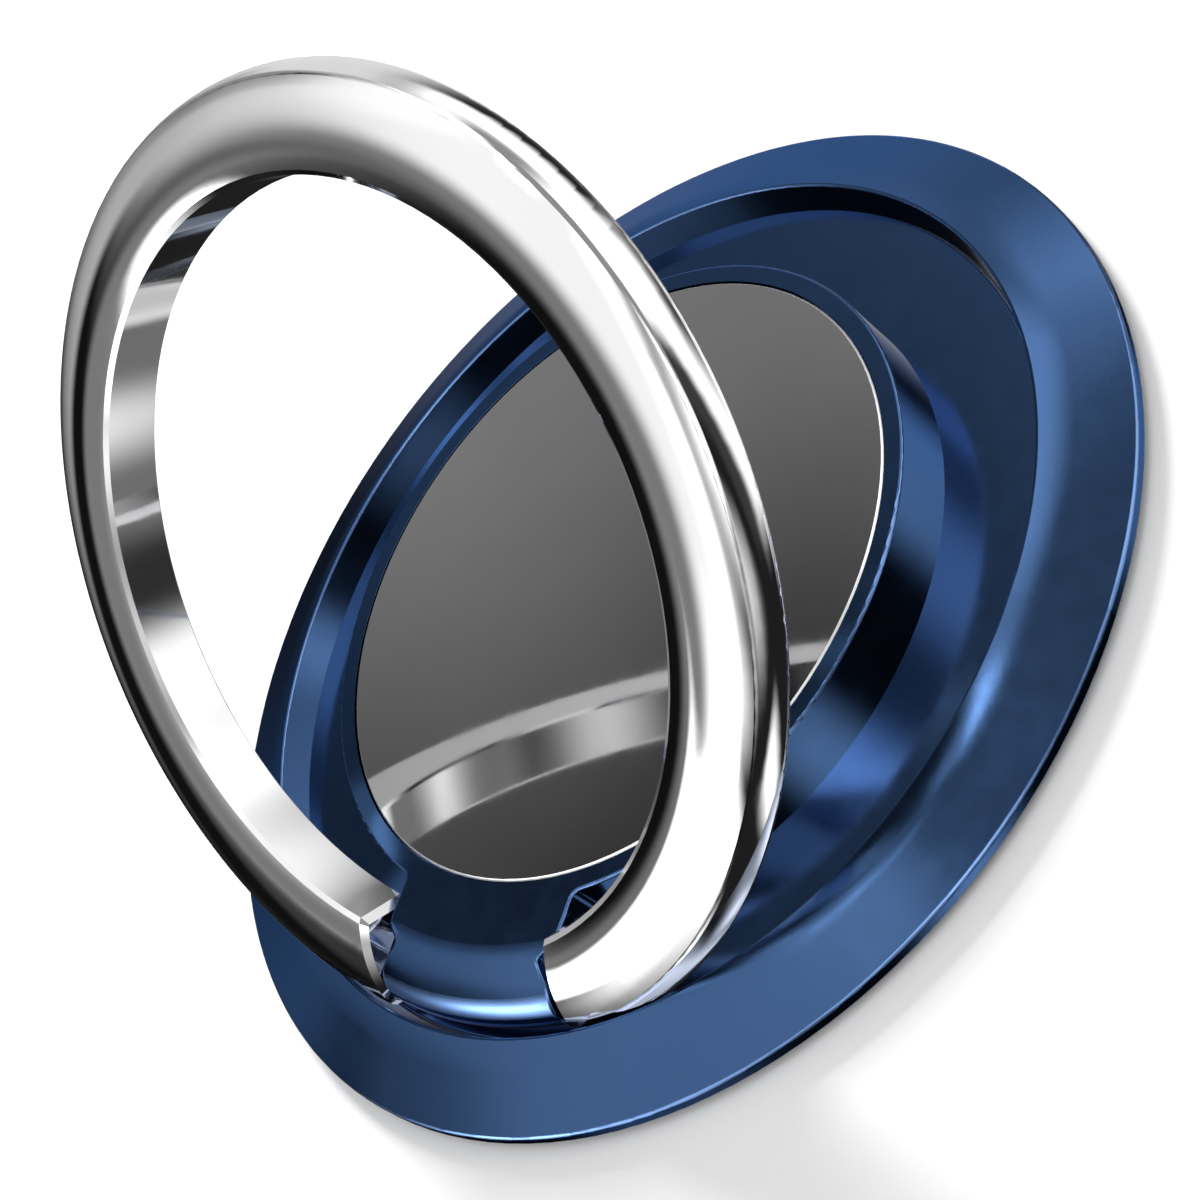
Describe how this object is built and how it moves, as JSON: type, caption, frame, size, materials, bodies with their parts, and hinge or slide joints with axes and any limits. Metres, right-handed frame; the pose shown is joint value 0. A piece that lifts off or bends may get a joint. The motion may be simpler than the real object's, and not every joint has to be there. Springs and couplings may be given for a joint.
{
  "type": "phone ring holder",
  "caption": "Round phone ring holder: a flat flanged base with a raised turning hub, a polished plate and a finger ring that folds into the recess round the hub.",
  "frame": {"origin": "centre of the adhesive pad's back face", "axes": "+Z square to the back, away from the phone; the ring's hinge axis lies along X on the -Y side; the ring is stored opened 44.8 degrees from folded"},
  "size_m": [0.04, 0.04, 0.0239],
  "materials": {
    "blue_anodised": "satin blue anodised",
    "chrome": "mirror polished",
    "polished_steel": "mirror polished",
    "steel": "plain",
    "black_steel": "black coated",
    "adhesive": "matte",
    "nylon": "matte"
  },
  "bodies": {
    "base": {"base_flange": "blue_anodised", "back_disc": "black_steel", "adhesive_pad": "adhesive", "swivel_post": "steel", "retaining_disc": "steel", "post_rivets": "steel", "disc_spring": "steel", "glide_washer": "nylon"},
    "hub": {"swivel_tray": "blue_anodised", "hub_housing": "blue_anodised", "tray_screws": "steel", "plate_film": "adhesive", "face_plate": "polished_steel", "hinge_pin": "steel", "hinge_washer_left": "steel", "hinge_washer_right": "steel"},
    "ring": {"finger_ring": "chrome"}
  },
  "joints": [
    {"name": "hub_swivel", "type": "hinge", "parent": "base", "child": "hub", "pos_m": [0, 0, 0], "axis": [0, 0, 1], "continuous": true},
    {"name": "ring_fold", "type": "hinge", "parent": "hub", "child": "ring", "pos_m": [0, -0.01455, 0.00142], "axis": [1, 0, 0], "range_deg": [-44.8, 15.2]}
  ]
}
